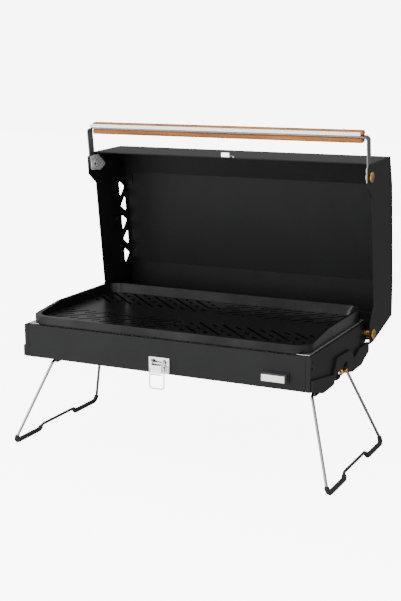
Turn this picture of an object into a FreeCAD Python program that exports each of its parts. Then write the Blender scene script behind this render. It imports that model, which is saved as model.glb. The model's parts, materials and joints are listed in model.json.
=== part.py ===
"""Folding camp grill: a suitcase-style gas grill with a hinged lid and folding wire legs.

Frame: +Z up, ground at Z = 0, +Y to the back, origin below the middle of the bounding box.
The lid is modelled closed, in (forward from hinge, up from hinge) terms, then swung open.
"""

import FreeCAD, Part
import math
import os

os.makedirs("parts", exist_ok=True)

V = FreeCAD.Vector
X_AXIS = V(1, 0, 0)
Y_AXIS = V(0, 1, 0)
Z_AXIS = V(0, 0, 1)

# ---- driving dimensions, mm ----
base_width = 480.0
base_depth = 262.0
base_height = 52.0
base_lift = 153.0          # base underside above the ground
sheet = 1.2                # steel sheet of the base and lid
corner_strip = 7.0         # return of each end wall round the front corner
end_wall_depth = 222.0
guard_out = 4.0            # how far an end guard stands off its end wall

hinge_back = 263.0         # hinge axis behind the front face
hinge_up = 29.0            # hinge axis above the base underside
lid_open = 82.4            # degrees from closed to the open stop
lid_half = 248.0           # half the lid's outside width
lid_profile = {            # (forward, up) from the hinge axis, lid closed
    "rim_front": (277.0, 7.0),
    "top_front": (267.5, 103.0),
    "band_end": (218.0, 112.8),
    "fold": (52.0, 111.5),
    "top_back": (-4.0, 105.5),
    "rim_back": (-14.0, 5.0),
}
vent_pitch = 31.0
vent_first = 69.0
vent_count = 5
vent_base_up = 84.0
vent_tip_up = 103.0
groove_up = 97.5

handle_pivot = (257.0, 0.5)
handle_reach = 64.0        # pivot to the strap of the grip
handle_strap = 1.8
arm_spread = (-10.2, 6.3)  # the arms' edges, below and above the pivot with the lid closed
bar_width = 13.0           # the strap narrows between the grips
grip_half = 238.0

leg_pivot_in = 16.5        # pivot rod inside the end wall face
leg_pivot_drop = 20.0
leg_foot_out = 29.0
leg_top = (54.0, 209.5)    # ends of the pivot rod, behind the front face
leg_foot = (4.0, 263.0)
leg_jog = (76.0, 189.0)    # the raised middle of the foot bar
leg_jog_rise = 8.0
corner_bend = 8.0
jog_bend = 6.0
wire_r = 2.4
sleeve_r = 4.0

grate_half = 234.5
grate_front = 4.0
grate_back = 261.0
grate_floor_top = 60.0     # above the base underside
grate_floor = 4.0
rim_low = 66.0
rim_high = 74.0
rim_wall = 4.0
rim_draft = 0.8            # the rim leans in this much at its foot
slot_width = 4.6
slot_pitch = 40.0

latch_pin = (-5.5, 17.0)   # (behind the front face, above the base underside)
bail_pin = (-8.5, 10.5)
bail_length = 32.0
bail_half = 12.0
bail_wire = 1.0
keeper_half = 7.5
keeper_height = 14.0
tongue_half = 7.0          # fits inside the bail

button_x = 188.0
button_size = (36.0, 10.0)
button_out = 13.0
button_up = 18.0

burner_up = 34.0           # burner centre line above the base underside
burner_r = 8.0

pivot_r = 3.0
head_r = 8.6               # the four round bolt heads
head_high = 4.0
run_gap = 0.05             # radial clearance of every running pin

# ---- worked out from the driving dimensions ----
half = base_width / 2
strap_x = lid_half - sheet - 0.2 - handle_strap
plate_gauge = 1.2
plate_x = strap_x - 0.4 - plate_gauge
open_rad = math.radians(lid_open)
top_back = lid_profile["top_back"]
rear_reach = hinge_back - top_back[0] * math.cos(open_rad) + top_back[1] * math.sin(open_rad)
front_y = -(rear_reach - button_out) / 2
hinge_at = V(0, front_y + hinge_back, base_lift + hinge_up)


def at(x, back, up):
    """A point from: across from the middle, behind the front face, above the base underside."""
    return V(x, front_y + back, base_lift + up)


def save(shape, name):
    shape.exportStep("parts/" + name + ".step")
    print(name, "solids", len(shape.Solids), "valid", shape.isValid(), round(shape.Volume))


def group(shapes):
    return Part.makeCompound(shapes)


def box(low, high):
    size = high - low
    return Part.makeBox(size.x, size.y, size.z, low)


def round_edges(points, closed):
    """Edges along (point, radius) corners: straight runs joined by tangent arcs."""
    count = len(points)
    spans = []
    for i, (p, radius) in enumerate(points):
        if radius <= 0 or (not closed and i in (0, count - 1)):
            spans.append((p, None, p))
            continue
        back = (points[i - 1][0] - p).normalize()
        ahead = (points[(i + 1) % count][0] - p).normalize()
        turn = math.pi - back.getAngle(ahead)
        cut = radius * math.tan(turn / 2)
        inward = (back + ahead).normalize()
        middle = p + inward * (radius / math.cos(turn / 2) - radius)
        spans.append((p + back * cut, middle, p + ahead * cut))
    edges = []
    for i, (start, middle, end) in enumerate(spans):
        if middle is not None:
            edges.append(Part.Arc(start, middle, end).toShape())
        if closed or i < count - 1:
            ahead = spans[(i + 1) % count][0]
            if (ahead - end).Length > 1e-6:
                edges.append(Part.LineSegment(end, ahead).toShape())
    return edges


def plate(points, thickness, radius=0.0):
    """A plate from its outline, as points or (point, radius) corners, grown by a vector."""
    corners = [p if isinstance(p, tuple) else (p, radius) for p in points]
    return Part.Face(Part.Wire(round_edges(corners, True))).extrude(thickness)


def tube(points, radius):
    """A round bar along (point, bend radius) corners."""
    edges = round_edges(points, False)
    start = edges[0].Vertexes[0].Point
    ahead = edges[0].Vertexes[-1].Point - start
    ring = Part.Wire(Part.makeCircle(radius, start, ahead))
    return Part.Wire(edges).makePipeShell([ring], True, False)


def rod(radius, start, end):
    along = end - start
    return Part.makeCylinder(radius, along.Length, start, along)


def mirrored(shape):
    return shape.mirror(V(0, 0, 0), X_AXIS)


def both(shape):
    return group([shape, mirrored(shape)])


def opened(shape):
    """Swing a closed-lid shape to the open stop."""
    turned = shape.copy()
    turned.rotate(hinge_at, X_AXIS, -lid_open)
    return turned


def lid_at(x, forward, up):
    return at(x, hinge_back - forward, hinge_up + up)


# ---- base ----
def front_panel():
    inner = half - corner_strip - 0.2
    panel = box(at(-inner, 0, 0), at(inner, sheet, base_height))
    for low, high in ((0, sheet), (base_height - sheet, base_height)):
        panel = panel.fuse(box(at(-inner, 0, low), at(inner, 14, high)))
    wide, tall = button_size
    slot = box(at(button_x - wide / 2 - 1, -1, button_up - tall / 2 - 1),
               at(button_x + wide / 2 + 1, sheet + 1, button_up + tall / 2 + 1))
    return panel.cut(slot).removeSplitter()


def end_wall():
    """Right end wall with its front return, a top hem and a wide bottom flange."""
    wall = box(at(half - sheet, 0, 0), at(half, end_wall_depth, base_height))
    wall = wall.fuse(box(at(half - corner_strip, 0, 0), at(half, sheet, base_height)))
    hem_up = base_height - sheet
    wall = wall.fuse(box(at(half - 6, sheet, hem_up), at(half, end_wall_depth, base_height)))
    wall = wall.fuse(box(at(half - 34, 16, 0), at(half, base_depth - 2, sheet)))
    wall = wall.cut(rod(1.5, at(half - 3, 8, 43), at(half + 1, 8, 43)))
    wall = wall.cut(rod(2.2, at(half - 3, 8, 33), at(half + 1, 8, 33)))
    stem = rod(4.2, at(half - 10, 186, -1), at(half - 10, 186, 2))
    return wall.cut(stem).removeSplitter()


def end_guard():
    """Stepped sheet guard pressed out over the lower part of the end wall."""
    outline = [(2, 18), (80, 6.5), (90, 3), (106, 27), (168, 25), (186, 7), (212, 17), (259, 17), (260, 1),
               (236, -7), (226, -12), (179, -13), (160, -9), (154, 0), (152, 11), (146, 12), (106, 2),
               (97, -5), (93, -11), (64, -12), (45, -12), (19, -4), (2, 0)]
    points = [at(half, back, up) for back, up in outline]
    skin = plate(points, X_AXIS * guard_out, 1.5)
    wire = Part.Wire(round_edges([(p, 0) for p in points], True))
    core = Part.Face(wire.makeOffset2D(-sheet, 2)).extrude(X_AXIS * (guard_out - sheet))
    lowered = core.copy()
    lowered.translate(V(0, 0, -2.5 * sheet))
    return skin.cut(core).cut(lowered)


def rear_wall():
    inner = half - 6.3
    wall = box(at(-inner, base_depth - sheet, 0), at(inner, base_depth, base_height))
    hem_up = base_height - sheet
    wall = wall.fuse(box(at(-inner, base_depth - 14, hem_up), at(inner, base_depth, base_height)))
    for i in range(9):
        x = -160 + 40 * i
        wall = wall.cut(box(at(x - 11, base_depth - 3, 30), at(x + 11, base_depth + 1, 35)))
    notch = box(at(half - 10.6, base_depth - 3, hinge_up - 8), at(half, base_depth + 1, hinge_up + 8))
    return wall.cut(both(notch)).removeSplitter()


def base_pan():
    """Floor pan on the bottom flanges, with air slots."""
    side = half - 1.5
    floor_up = sheet + 0.1
    pan = box(at(-side, 1.4, floor_up), at(side, base_depth - sheet - 0.2, floor_up + sheet))
    for i in range(7):
        x = -150 + 50 * i
        for back in (70, 190):
            pan = pan.cut(box(at(x - 14, back - 3, 0), at(x + 14, back + 3, 4)))
    return pan.cut(rod(4.2, at(half - 10, 186, 0), at(half - 10, 186, 4)))


def hinge_bracket():
    """Inset plate that carries the right hinge bolt behind the end wall."""
    face = half - 6.2
    front = end_wall_depth - 14
    outline = [(front, 2.7), (front, 50), (256, 50), (272, 38), (272, 20), (252, 2.7)]
    body = plate([at(face, b, u) for b, u in outline], X_AXIS * 1.8, 3.0)
    body = body.cut(box(at(face - 1, base_depth - sheet - 0.1, 0), at(face + 3, base_depth + 0.1, 53)))
    keep = rod(9.6, at(face, hinge_back, hinge_up), at(face + 1.8, hinge_back, hinge_up))
    bore = rod(pivot_r, at(face - 1, hinge_back, hinge_up), at(face + 3, hinge_back, hinge_up))
    return body.fuse(keep).cut(bore)


def drip_tray():
    """Bright liner tray that hangs by its flange on top of the base."""
    low, high, skin = 14.0, base_height + 0.85, 0.8
    side, front, back = half - 4.5, 7.5, base_depth - 5.5
    wall = half - 15
    rim = box(at(-side, front, base_height + 0.05), at(side, back, high))
    outer = box(at(-wall, 18, low), at(wall, base_depth - 18, high))
    inner = box(at(-wall + skin, 18 + skin, low + skin), at(wall - skin, base_depth - 18 - skin, high + 1))
    tray = rim.fuse(outer).cut(inner)
    tray = tray.cut(box(at(half - 18, 121, 24), at(half - 14, 141, 44)))
    tray = tray.cut(box(at(button_x - 24, 17, 24), at(button_x - 16, 20, 34)))
    return tray.removeSplitter()


# ---- burner and gas ----

def burner_tube():
    """Looped burner tube with two rows of flame ports; it enters from the right end."""
    start = at(half - 46, 131, burner_up)
    path = [(start, 0), (at(140, 131, burner_up), 26), (at(140, 70, burner_up), 30),
            (at(-150, 70, burner_up), 44), (at(-150, 192, burner_up), 44), (at(150, 192, burner_up), 0)]
    body = tube(path, burner_r).cut(tube(path, burner_r - 1.2))
    body = body.fuse(rod(burner_r, at(149, 192, burner_up), at(151, 192, burner_up)))
    drills = []
    for row in (70, 192):
        for i in range(22):
            x = -105 + 10 * i
            drills.append(rod(1.2, at(x, row, burner_up), at(x, row - 7, burner_up + 12)))
            drills.append(rod(1.2, at(x, row, burner_up), at(x, row + 7, burner_up + 12)))
    return body.cut(group(drills))


def venturi():
    """Mixing tube with four air windows, over the burner's inlet end."""
    start = at(half - 45.8, 131, burner_up)
    end = at(half - 14.2, 131, burner_up)
    body = rod(9.5, start, end).cut(rod(8.1, start, at(half - 15.4, 131, burner_up)))
    body = body.cut(rod(4.1, at(half - 16, 131, burner_up), at(half - 13, 131, burner_up)))
    for turn in range(4):
        window = box(at(half - 30, 131 - 3, burner_up + 4), at(half - 20, 131 + 3, burner_up + 12))
        window.rotate(at(0, 131, burner_up), X_AXIS, 45 + 90 * turn)
        body = body.cut(window)
    return body


def gas_jet():
    body = rod(4.0, at(half - 19, 131, burner_up), at(half - 12.5, 131, burner_up))
    body = body.fuse(hexagon(5.0, at(half - 12.5, 131, burner_up), X_AXIS * 3.5))
    return body.cut(rod(0.5, at(half - 20, 131, burner_up), at(half - 8, 131, burner_up)))


def hexagon(across_half, centre, along):
    """A hexagonal bar standing on its centre point."""
    normal = V(along).normalize()
    side = normal.cross(Z_AXIS if abs(normal.z) < 0.9 else Y_AXIS).normalize()
    radius = across_half / math.cos(math.pi / 6)
    turn = FreeCAD.Rotation(normal, 60)
    points = []
    for _ in range(6):
        points.append(centre + side * radius)
        side = turn.multVec(side)
    return plate(points, along)


def gas_pipe():
    """Bent pipe from the inlet up to the jet, in the gap beside the tray."""
    path = [(at(half - 10, 186, 3), 0), (at(half - 10, 186, 22), 7), (at(half - 6, 160, burner_up), 7),
            (at(half - 6, 137, burner_up), 0)]
    return tube(path, 2.5)


def jet_elbow():
    """Brass elbow block that joins the pipe to the jet."""
    return box(at(half - 8.9, 125, burner_up - 5.5), at(half - 1.6, 137, burner_up + 5.5))


def gas_inlet():
    """Brass elbow under the base with a plain tail for the hose."""
    body = box(at(half - 14.5, 181, -17), at(half - 5.5, 191, 0))
    body = body.fuse(rod(4.0, at(half - 10, 186, 0), at(half - 10, 186, 6)))
    tail = rod(4.0, at(half - 10, 181, -10.5), at(half - 10, 163, -10.5))
    bore = rod(2.6, at(half - 10, 186, 6.5), at(half - 10, 186, 2.9))
    return body.fuse(tail).cut(bore).cut(rod(1.6, at(half - 10, 162, -10.5), at(half - 10, 180, -10.5)))


def inlet_nut():
    nut = hexagon(7.0, at(half - 10, 186, sheet * 2 + 0.2), Z_AXIS * 3.0)
    return nut.cut(rod(4.0, at(half - 10, 186, 0), at(half - 10, 186, 8)))


def burner_bracket(x):
    """Saddle under both burner runs, standing on the tray floor."""
    floor_up = 14.8
    foot = box(at(x - 7, 56, floor_up), at(x + 7, 206, floor_up + 1.2))
    for back in (70, 192):
        foot = foot.fuse(box(at(x - 7, back - 9, floor_up), at(x + 7, back - 7.8, burner_up)))
        foot = foot.fuse(box(at(x - 7, back + 7.8, floor_up), at(x + 7, back + 9, burner_up)))
        foot = foot.cut(rod(burner_r + 0.02, at(x - 8, back, burner_up), at(x + 8, back, burner_up)))
    return foot.removeSplitter()


def burner_screws():
    screws = []
    for x in (-80, 80):
        for back in (100, 162):
            screws.append(rod(3.4, at(x, back, 16.0), at(x, back, 17.8)).fuse(
                hexagon(1.4, at(x, back, 17.7), Z_AXIS * 0.6)))
    return group(screws)


def electrode():
    """Ceramic spark electrode on a clip beside the front burner run."""
    body = rod(3.0, at(button_x - 40, 56, 18), at(button_x - 40, 56, 40))
    return body.fuse(rod(4.2, at(button_x - 40, 56, 24), at(button_x - 40, 56, 28)))


def electrode_tip():
    path = [(at(button_x - 40, 56, 40), 0), (at(button_x - 40, 56, 46), 2.5), (at(button_x - 40, 63, 46), 0)]
    return tube(path, 0.8)


def electrode_clip():
    clip = box(at(button_x - 46, 50, 15), at(button_x - 34, 62, 16.2))
    clip = clip.fuse(box(at(button_x - 46, 50, 15), at(button_x - 44.8, 62, 24)))
    clip = clip.fuse(box(at(button_x - 46, 50, 22.8), at(button_x - 34, 62, 24)))
    return clip.cut(rod(3.0, at(button_x - 40, 56, 10), at(button_x - 40, 56, 30)))


# ---- igniter ----
def igniter_bezel():
    wide, tall = button_size
    frame = box(at(button_x - wide / 2 - 3, -1.4, button_up - tall / 2 - 3),
                at(button_x + wide / 2 + 3, 0, button_up + tall / 2 + 3))
    return frame.cut(box(at(button_x - wide / 2 - 0.4, -2, button_up - tall / 2 - 0.4),
                         at(button_x + wide / 2 + 0.4, 1, button_up + tall / 2 + 0.4)))


def igniter_button():
    wide, tall = button_size
    face = box(at(button_x - wide / 2, -button_out, button_up - tall / 2),
               at(button_x + wide / 2, 3.0, button_up + tall / 2))
    face = face.makeFillet(1.0, [e for e in face.Edges if e.BoundBox.YMax < front_y - button_out + 0.1])
    recess = box(at(button_x - wide / 2 + 1.6, -button_out - 1, button_up - tall / 2 + 1.6),
                 at(button_x + wide / 2 - 1.6, -button_out + 0.8, button_up + tall / 2 - 1.6))
    return face.cut(recess)


def piezo_unit():
    body = box(at(button_x - 9, 9.0, button_up - 7), at(button_x + 9, 16.8, button_up + 7))
    return body.fuse(rod(2.5, at(button_x, 4, button_up), at(button_x, 10, button_up)).cut(
        box(at(button_x - 5, 3, button_up - 5), at(button_x + 5, 8.4, button_up + 5))))


# ---- latch ----
def latch_plate():
    """Base plate of the draw latch with two cheeks that carry the lever pin."""
    body = box(at(-17, -sheet, 1), at(17, 0, 25))
    for x in (-10.2, 9.0):
        cheek = [at(x, 0, 11), at(x, -8.2, 14), at(x, -8.2, 20), at(x, 0, 23.5)]
        body = body.fuse(plate(cheek, X_AXIS * 1.2, 0))
    body = body.cut(rod(1.5, at(-12, latch_pin[0], latch_pin[1]), at(12, latch_pin[0], latch_pin[1])))
    return body


def latch_rivets():
    rivets = []
    for x in (-13.8, 13.8):
        for up in (5, 21):
            rivets.append(Part.makeSphere(2.2, at(x, -sheet, up)).common(
                box(at(x - 3, -sheet - 1.1, up - 3), at(x + 3, -sheet, up + 3))))
    return group(rivets)


def latch_pin_rod():
    return rod(1.5, at(-11.2, latch_pin[0], latch_pin[1]), at(11.2, latch_pin[0], latch_pin[1]))


def latch_lever():
    """Pressed lever: two arms and a front web, turning on the latch pin."""
    back, up = latch_pin
    arms = []
    for x in (-8.8, 7.6):
        outline = [at(x, -3.2, up - 2), at(x, -3.2, up + 3.2), at(x, -7.6, up + 3.2), at(x, -10.6, up - 2),
                   at(x, -10.6, 3.0), at(x, -4.5, 3.0)]
        arms.append(plate(outline, X_AXIS * 1.2, 0.8))
    web = box(at(-8.8, -11.4, 3.0), at(8.8, -10.2, up - 2))
    lip = plate([at(-8.8, -10.2, 3.0), at(-8.8, -11.4, 3.0), at(-8.8, -13.0, 0.4), at(-8.8, -12.0, 0.0)],
                X_AXIS * 17.6, 0)
    body = arms[0].fuse(arms[1]).fuse(web).fuse(lip)
    body = body.cut(rod(1.5 + run_gap, at(-12, back, up), at(12, back, up)))
    return body.cut(rod(bail_wire + run_gap, at(-12, *bail_pin), at(12, *bail_pin))).removeSplitter()


def latch_bail():
    """Wire loop that hangs from the lever and reaches up to the keeper on the lid."""
    back, up = bail_pin
    low = up - bail_length
    left = [(at(-7.0, back, up), 0), (at(-bail_half, back, up), 1.6), (at(-bail_half, back, low), 4.0),
            (at(bail_half, back, low), 4.0), (at(bail_half, back, up), 1.6), (at(7.0, back, up), 0)]
    return tube(left, bail_wire)


# ---- legs ----
def leg_points():
    """Corners of the right leg's wire, starting and ending on the pivot rod."""
    top_x = half - leg_pivot_in
    foot_x = half + leg_foot_out
    foot_up = -base_lift + sleeve_r
    run = (-leg_pivot_drop - foot_up)
    jog_x = foot_x - (foot_x - top_x) * leg_jog_rise / run
    middle = (leg_top[0] + leg_top[1]) / 2
    return [(at(top_x, middle - 0.6, -leg_pivot_drop), 0),
            (at(top_x, leg_top[0], -leg_pivot_drop), 5),
            (at(foot_x, leg_foot[0], foot_up), corner_bend),
            (at(foot_x, leg_jog[0], foot_up), jog_bend),
            (at(jog_x, leg_jog[0] + 7, foot_up + leg_jog_rise), jog_bend),
            (at(jog_x, leg_jog[1] - 7, foot_up + leg_jog_rise), jog_bend),
            (at(foot_x, leg_jog[1], foot_up), jog_bend),
            (at(foot_x, leg_foot[1], foot_up), corner_bend),
            (at(top_x, leg_top[1], -leg_pivot_drop), 5),
            (at(top_x, middle + 0.6, -leg_pivot_drop), 0)]


def leg_wire():
    return tube(leg_points(), wire_r)


def leg_sleeves():
    """Rubber sleeves over the two floor corners of the right leg."""
    points = leg_points()
    sleeves = []
    for upright, corner, jog, rise in ((1, 2, 3, 4), (8, 7, 6, 5)):
        up_from = points[corner][0] + (points[upright][0] - points[corner][0]).normalize() * 12
        over = points[jog][0] + (points[rise][0] - points[jog][0]).normalize() * 7
        path = [(up_from, 0), points[corner], points[jog], (over, 0)]
        sleeves.append(tube(path, sleeve_r).cut(tube(path, wire_r)))
    return group(sleeves)


def leg_hangers():
    """Two riveted hangers that hold the right leg's pivot rod under the bottom flange."""
    hangers = []
    top_x = half - leg_pivot_in
    for back in (leg_top[0] + 16, leg_top[1] - 46):
        eye = rod(4.6, at(top_x, back - 5, -leg_pivot_drop), at(top_x, back + 5, -leg_pivot_drop))
        web = box(at(top_x - 1.0, back - 5, -leg_pivot_drop), at(top_x + 1.0, back + 5, 0))
        flange = box(at(top_x - 12, back - 5, -1.6), at(top_x + 1.0, back + 5, 0))
        hanger = eye.fuse(web).fuse(flange)
        hanger = hanger.cut(rod(wire_r + run_gap, at(top_x, back - 6, -leg_pivot_drop),
                                at(top_x, back + 6, -leg_pivot_drop)))
        hangers.append(hanger.removeSplitter())
    return group(hangers)


# ---- grate ----
def grate_outline(inset, up, radius):
    low_x = -grate_half + inset
    corners = [at(low_x, grate_front + inset, up), at(-low_x, grate_front + inset, up),
               at(-low_x, grate_back - inset, up), at(low_x, grate_back - inset, up)]
    return Part.Wire(round_edges([(p, radius) for p in corners], True))


def slot_cutters():
    """45 degree slots in four mirrored quarters: long slots with dashed lines between them."""
    centre = (grate_front + grate_back) / 2
    near, far = 34.0, 110.0
    left, right = 12.0, 216.0
    up_low, up_high = grate_floor_top - grate_floor - 1, grate_floor_top + 1
    dash_rows = ((38.0, 52.0), (64.0, 74.0), (84.0, 94.0), (101.0, 110.0))
    cutters = []

    def add(x, start, end):
        start = max(start, near + max(0.0, left - (x + start - near)))
        end = min(end, near + right - x)
        if end - start < 5:
            return
        a = V(x + start - near, start, 0)
        b = V(x + end - near, end, 0)
        side = V(1, 1, 0).normalize() * (slot_width / 2)
        side = V(side.x, -side.y, 0)
        for sx in (-1, 1):
            for sy in (-1, 1):
                ring = [V(sx * p.x, sy * p.y, 0) for p in (a - side, b - side, b + side, a + side)]
                ring = [at(p.x, centre + p.y, up_low) for p in ring]
                cutters.append(plate(ring, Z_AXIS * (up_high - up_low), 0.9))

    for k in range(-2, 6):
        x = 20.0 + slot_pitch * k
        add(x, near, far)
        for low, high in dash_rows:
            add(x + slot_pitch / 2, low, high)
    return group(cutters)


def grate_plate():
    """Cooking grate: slotted floor inside a rim that rises towards the back."""
    bottom = base_height + 0.9
    outer = Part.makeLoft([grate_outline(rim_draft, bottom, 26), grate_outline(0.0, rim_high, 27)], True)
    inner = Part.makeLoft([grate_outline(rim_wall + 8.0, grate_floor_top, 20),
                           grate_outline(rim_wall, rim_high + 0.5, 24)], True)
    under_in = rim_draft + rim_wall
    under = Part.makeLoft([grate_outline(under_in, bottom - 0.1, 22),
                           grate_outline(under_in + 5.0, grate_floor_top - grate_floor, 19)], True)
    body = outer.cut(inner).cut(under)
    ramp = [at(-half, -5, rim_low), at(-half, 26, rim_low), at(-half, 92, rim_high),
            at(-half, 92, rim_high + 5), at(-half, -5, rim_high + 5)]
    body = body.cut(plate(ramp, X_AXIS * base_width, 0))
    return body.cut(slot_cutters())


# ---- lid ----
def lid_outline(inset):
    names = ("rim_front", "top_front", "band_end", "fold", "top_back", "rim_back")
    points = [lid_at(0, *lid_profile[n]) for n in names]
    wire = Part.Wire(round_edges([(p, 0) for p in points], True))
    if inset:
        wire = wire.makeOffset2D(-inset, 2)
    return [v.Point for v in wire.OrderedVertexes]


def lid_shell():
    """One bent sheet: front wall, sloping band, top and back wall of the lid."""
    width = 2 * (lid_half - sheet)
    shift = V(-width / 2, 0, 0)
    outer = plate([p + shift for p in lid_outline(0)], X_AXIS * width, 2.4)
    inner = plate([p + shift for p in lid_outline(sheet)], X_AXIS * width, 1.2)
    rim_cut = plate([lid_at(-width / 2, *p) for p in ((275.2, 12), (275.4, 2), (-12.4, 2), (-12.0, 12))],
                    X_AXIS * width, 0)
    shell = outer.cut(inner).cut(rim_cut)
    below = ((290, 7), (290, -5), (-30, -5), (-30, 7))
    trim = plate([lid_at(-width / 2, *p) for p in below], X_AXIS * width, 0)
    return opened(shell.cut(trim))


def side_outline():
    return [(277.0, 5.0), (272.5, -13.0), (243.0, -14.5), (223.0, 7.0), (42.5, 7.0), (19.5, -13.0),
            (-12.0, -16.0), (-14.0, 5.0), (-4.0, 105.5), (52.0, 111.5), (218.0, 112.8), (267.5, 103.0)]


def side_tabs():
    """Inward tabs of the right side panel, under the sheet of the shell: (forward, up, direction)."""
    tabs = []
    inner = lid_half - sheet
    for forward in (60.0, 205.0):
        tabs.append(box(lid_at(inner - 13, forward + 9, 109.2), lid_at(inner + 0.2, forward - 9, 110.2)))
    return tabs


def side_vents():
    """Cutters for the row of triangular vents, base and tip in turn."""
    cutters = []
    for i in range(vent_count):
        middle = vent_first + vent_pitch * i
        base_up, tip_up = (vent_base_up, vent_tip_up) if i % 2 == 0 else (vent_tip_up, vent_base_up)
        corners = [(middle - 15.5, base_up), (middle + 15.5, base_up), (middle, tip_up)]
        points = [lid_at(lid_half - sheet - 1, *c) for c in corners]
        cutters.append(plate(points, X_AXIS * (sheet + 2), 3.0))
    return group(cutters)


def side_groove():
    """Cutter for the fine pressed line along the plain side, near the top sheet."""
    ends = [(272, groove_up - 0.8), (272, groove_up + 0.8), (-10, groove_up + 0.8), (-10, groove_up - 0.8)]
    return plate([lid_at(lid_half - 0.5, *p) for p in ends], X_AXIS, 0)


def side_panel(pattern):
    """Side panel, made as the right one, with ears for the handle and hinge and a cut pattern."""
    inner = lid_half - sheet
    panel = plate([lid_at(inner, *p) for p in side_outline()], X_AXIS * sheet, 2.0)
    for tab in side_tabs():
        panel = panel.fuse(tab)
    panel = panel.cut(pattern)
    for forward, up in ((0, 0), handle_pivot):
        bore = rod(pivot_r + run_gap, lid_at(inner - 1, forward, up), lid_at(lid_half + 1, forward, up))
        panel = panel.cut(bore)
    return panel


def lid_rivets():
    """Domed rivets that hold the side tabs to the top sheet."""
    rivets = []
    for forward in (60.0, 205.0):
        head = Part.makeSphere(3.0, lid_at(lid_half - sheet - 7, forward, 110.4))
        head = head.common(box(lid_at(0, forward + 4, 107.6), lid_at(half + 20, forward - 4, 109.2)))
        rivets.append(head)
    return opened(both(group(rivets)))


def inner_studs():
    """Short studs inside the lid's side panels that carry a warming rack."""
    inner = lid_half - sheet
    stud = rod(6.5, lid_at(inner - 5, 142, 68), lid_at(inner, 142, 68))
    stud = stud.cut(rod(2.5, lid_at(inner - 6, 142, 68), lid_at(inner - 3, 142, 68)))
    return opened(both(stud))


def on_front_wall(shape):
    """Tilt a shape, made against an upright wall at the lid's rim, onto the sloping front wall."""
    (rim_forward, rim_up), (top_forward, top_up) = lid_profile["rim_front"], lid_profile["top_front"]
    slope = math.degrees(math.atan2(rim_forward - top_forward, top_up - rim_up))
    shape.rotate(lid_at(0, rim_forward, rim_up), X_AXIS, -slope)
    shape.translate(V(0, -0.12, 0))
    return shape


def lid_keeper():
    """Bright keeper: a riveted plate with a narrow upturned tongue that the latch bail hooks over."""
    wall = lid_profile["rim_front"][0]
    low, shelf_out, gauge = 8.2, 7.0, 1.0
    body = box(lid_at(-keeper_half, wall + gauge, low), lid_at(keeper_half, wall, low + keeper_height))
    shelf = box(lid_at(-tongue_half, wall + shelf_out, low), lid_at(tongue_half, wall, low + gauge))
    lip = box(lid_at(-tongue_half, wall + shelf_out, low),
              lid_at(tongue_half, wall + shelf_out - gauge, low + 4.2))
    return on_front_wall(body.fuse(shelf).fuse(lip).removeSplitter())


def keeper_rivets():
    wall = lid_profile["rim_front"][0]
    rivets = []
    for x, up, seat in ((0, 16.5, 1.0), (13.0, 11.0, 0.05)):
        head = Part.makeSphere(2.6, lid_at(x, wall + seat - 1.4, up))
        keep = box(lid_at(x - 4, wall + seat + 2.5, up - 4), lid_at(x + 4, wall + seat, up + 4))
        rivets.append(head.common(keep))
    return on_front_wall(group(rivets))


# ---- hinge and handle hardware ----
def hinge_bolt():
    """Right hinge bolt: a brass head outside the lid and a shank through spacer and bracket."""
    outside = lid_half + 0.15
    head = rod(head_r, at(outside, hinge_back, hinge_up), at(outside + head_high, hinge_back, hinge_up))
    rims = [e for e in head.Edges if isinstance(e.Curve, Part.Circle) and e.BoundBox.XMin > outside + 3.5]
    head = head.makeFillet(1.6, rims)
    shank = rod(pivot_r, at(half - 9.8, hinge_back, hinge_up), at(outside + 1, hinge_back, hinge_up))
    slot = box(at(outside + head_high - 1.2, hinge_back - 6.5, hinge_up - 0.9),
               at(outside + 6, hinge_back + 6.5, hinge_up + 0.9))
    return head.cut(slot).fuse(shank)


def hinge_spacer():
    ends = at(half - 4.4, hinge_back, hinge_up), at(lid_half - sheet - 0.15, hinge_back, hinge_up)
    bore = rod(pivot_r, at(half - 6, hinge_back, hinge_up), at(half + 12, hinge_back, hinge_up))
    return rod(6.5, *ends).cut(bore)


def hinge_nut():
    nut = hexagon(5.0, at(half - 9.6, hinge_back, hinge_up), X_AXIS * 3.2)
    return nut.cut(rod(pivot_r, at(half - 12, hinge_back, hinge_up), at(half, hinge_back, hinge_up)))


def handle_bolt():
    forward, up = handle_pivot
    outside = lid_half + 0.15
    head = rod(head_r, lid_at(outside, forward, up), lid_at(outside + head_high, forward, up))
    rims = [e for e in head.Edges if isinstance(e.Curve, Part.Circle) and e.BoundBox.XMin > outside + 3.5]
    head = head.makeFillet(1.6, rims)
    slot = box(lid_at(outside + head_high - 1.2, forward + 6.5, up - 0.9),
               lid_at(outside + 6, forward - 6.5, up + 0.9))
    shank = rod(pivot_r, lid_at(plate_x - 1.6, forward, up), lid_at(outside + 1, forward, up))
    return head.cut(slot).fuse(shank)


def handle_nut():
    forward, up = handle_pivot
    nut = hexagon(5.0, lid_at(plate_x - 2.2, forward, up), X_AXIS * 2.2)
    return nut.cut(rod(pivot_r, lid_at(plate_x - 3, forward, up), lid_at(plate_x + 1, forward, up)))


def ear_plate():
    """Bright five-sided plate that keeps the right arm of the handle against its ear."""
    forward, up = handle_pivot
    outline = [(forward + 16, up - 9.5), (forward - 8, up - 9.5), (forward - 14, up + 19), (forward - 7, up + 38),
               (forward + 14.5, up + 15)]
    body = plate([lid_at(plate_x, *p) for p in outline], X_AXIS * plate_gauge, 2.0)
    return body.cut(rod(pivot_r, lid_at(plate_x - 1, forward, up), lid_at(plate_x + 2, forward, up)))


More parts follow.
